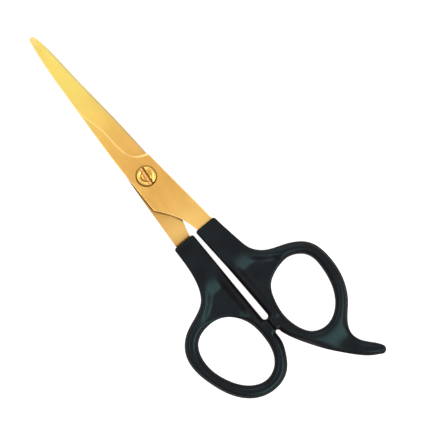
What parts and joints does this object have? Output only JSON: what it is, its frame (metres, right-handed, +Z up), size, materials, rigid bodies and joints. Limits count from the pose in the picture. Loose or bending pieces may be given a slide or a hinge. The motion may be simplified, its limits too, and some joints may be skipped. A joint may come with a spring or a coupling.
{
  "type": "hairdressing scissors",
  "caption": "Slim straight scissors with gold-coloured blades on a slotted screw pivot, glossy dark plastic loop handles and a curved finger rest.",
  "frame": {"origin": "on the pivot axis, in the plane that the closed scissors rest on, which is the underside of the pivot nut", "axes": "+Z up out of that plane towards the screw head, +Y from the pivot to the blade tips, +X towards the loop that carries the finger rest"},
  "size_m": [0.0684, 0.1814, 0.0079],
  "materials": {
    "gold_steel": "satin gold-coloured coating",
    "gold_screw": "polished gold-coloured coating",
    "handle_plastic": "glossy moulded",
    "spring_steel": "bright",
    "nylon": "matt"
  },
  "bodies": {
    "finger_half": {"finger_blade": "gold_steel", "finger_handle": "handle_plastic", "tension_washer": "spring_steel", "glide_washer": "nylon"},
    "thumb_half": {"thumb_blade": "gold_steel", "thumb_handle": "handle_plastic", "pivot_nut": "gold_screw"},
    "tension_screw": {"pivot_screw": "gold_screw"}
  },
  "joints": [
    {"name": "blade_pivot", "type": "hinge", "parent": "finger_half", "child": "thumb_half", "pos_m": [0, 0, 0.004], "axis": [0, 0, -1], "range_deg": [0, 148]},
    {"name": "screw_adjust", "type": "hinge", "parent": "thumb_half", "child": "tension_screw", "pos_m": [0, 0, 0.004], "axis": [0, 0, 1], "range_deg": [-45, 45]}
  ]
}
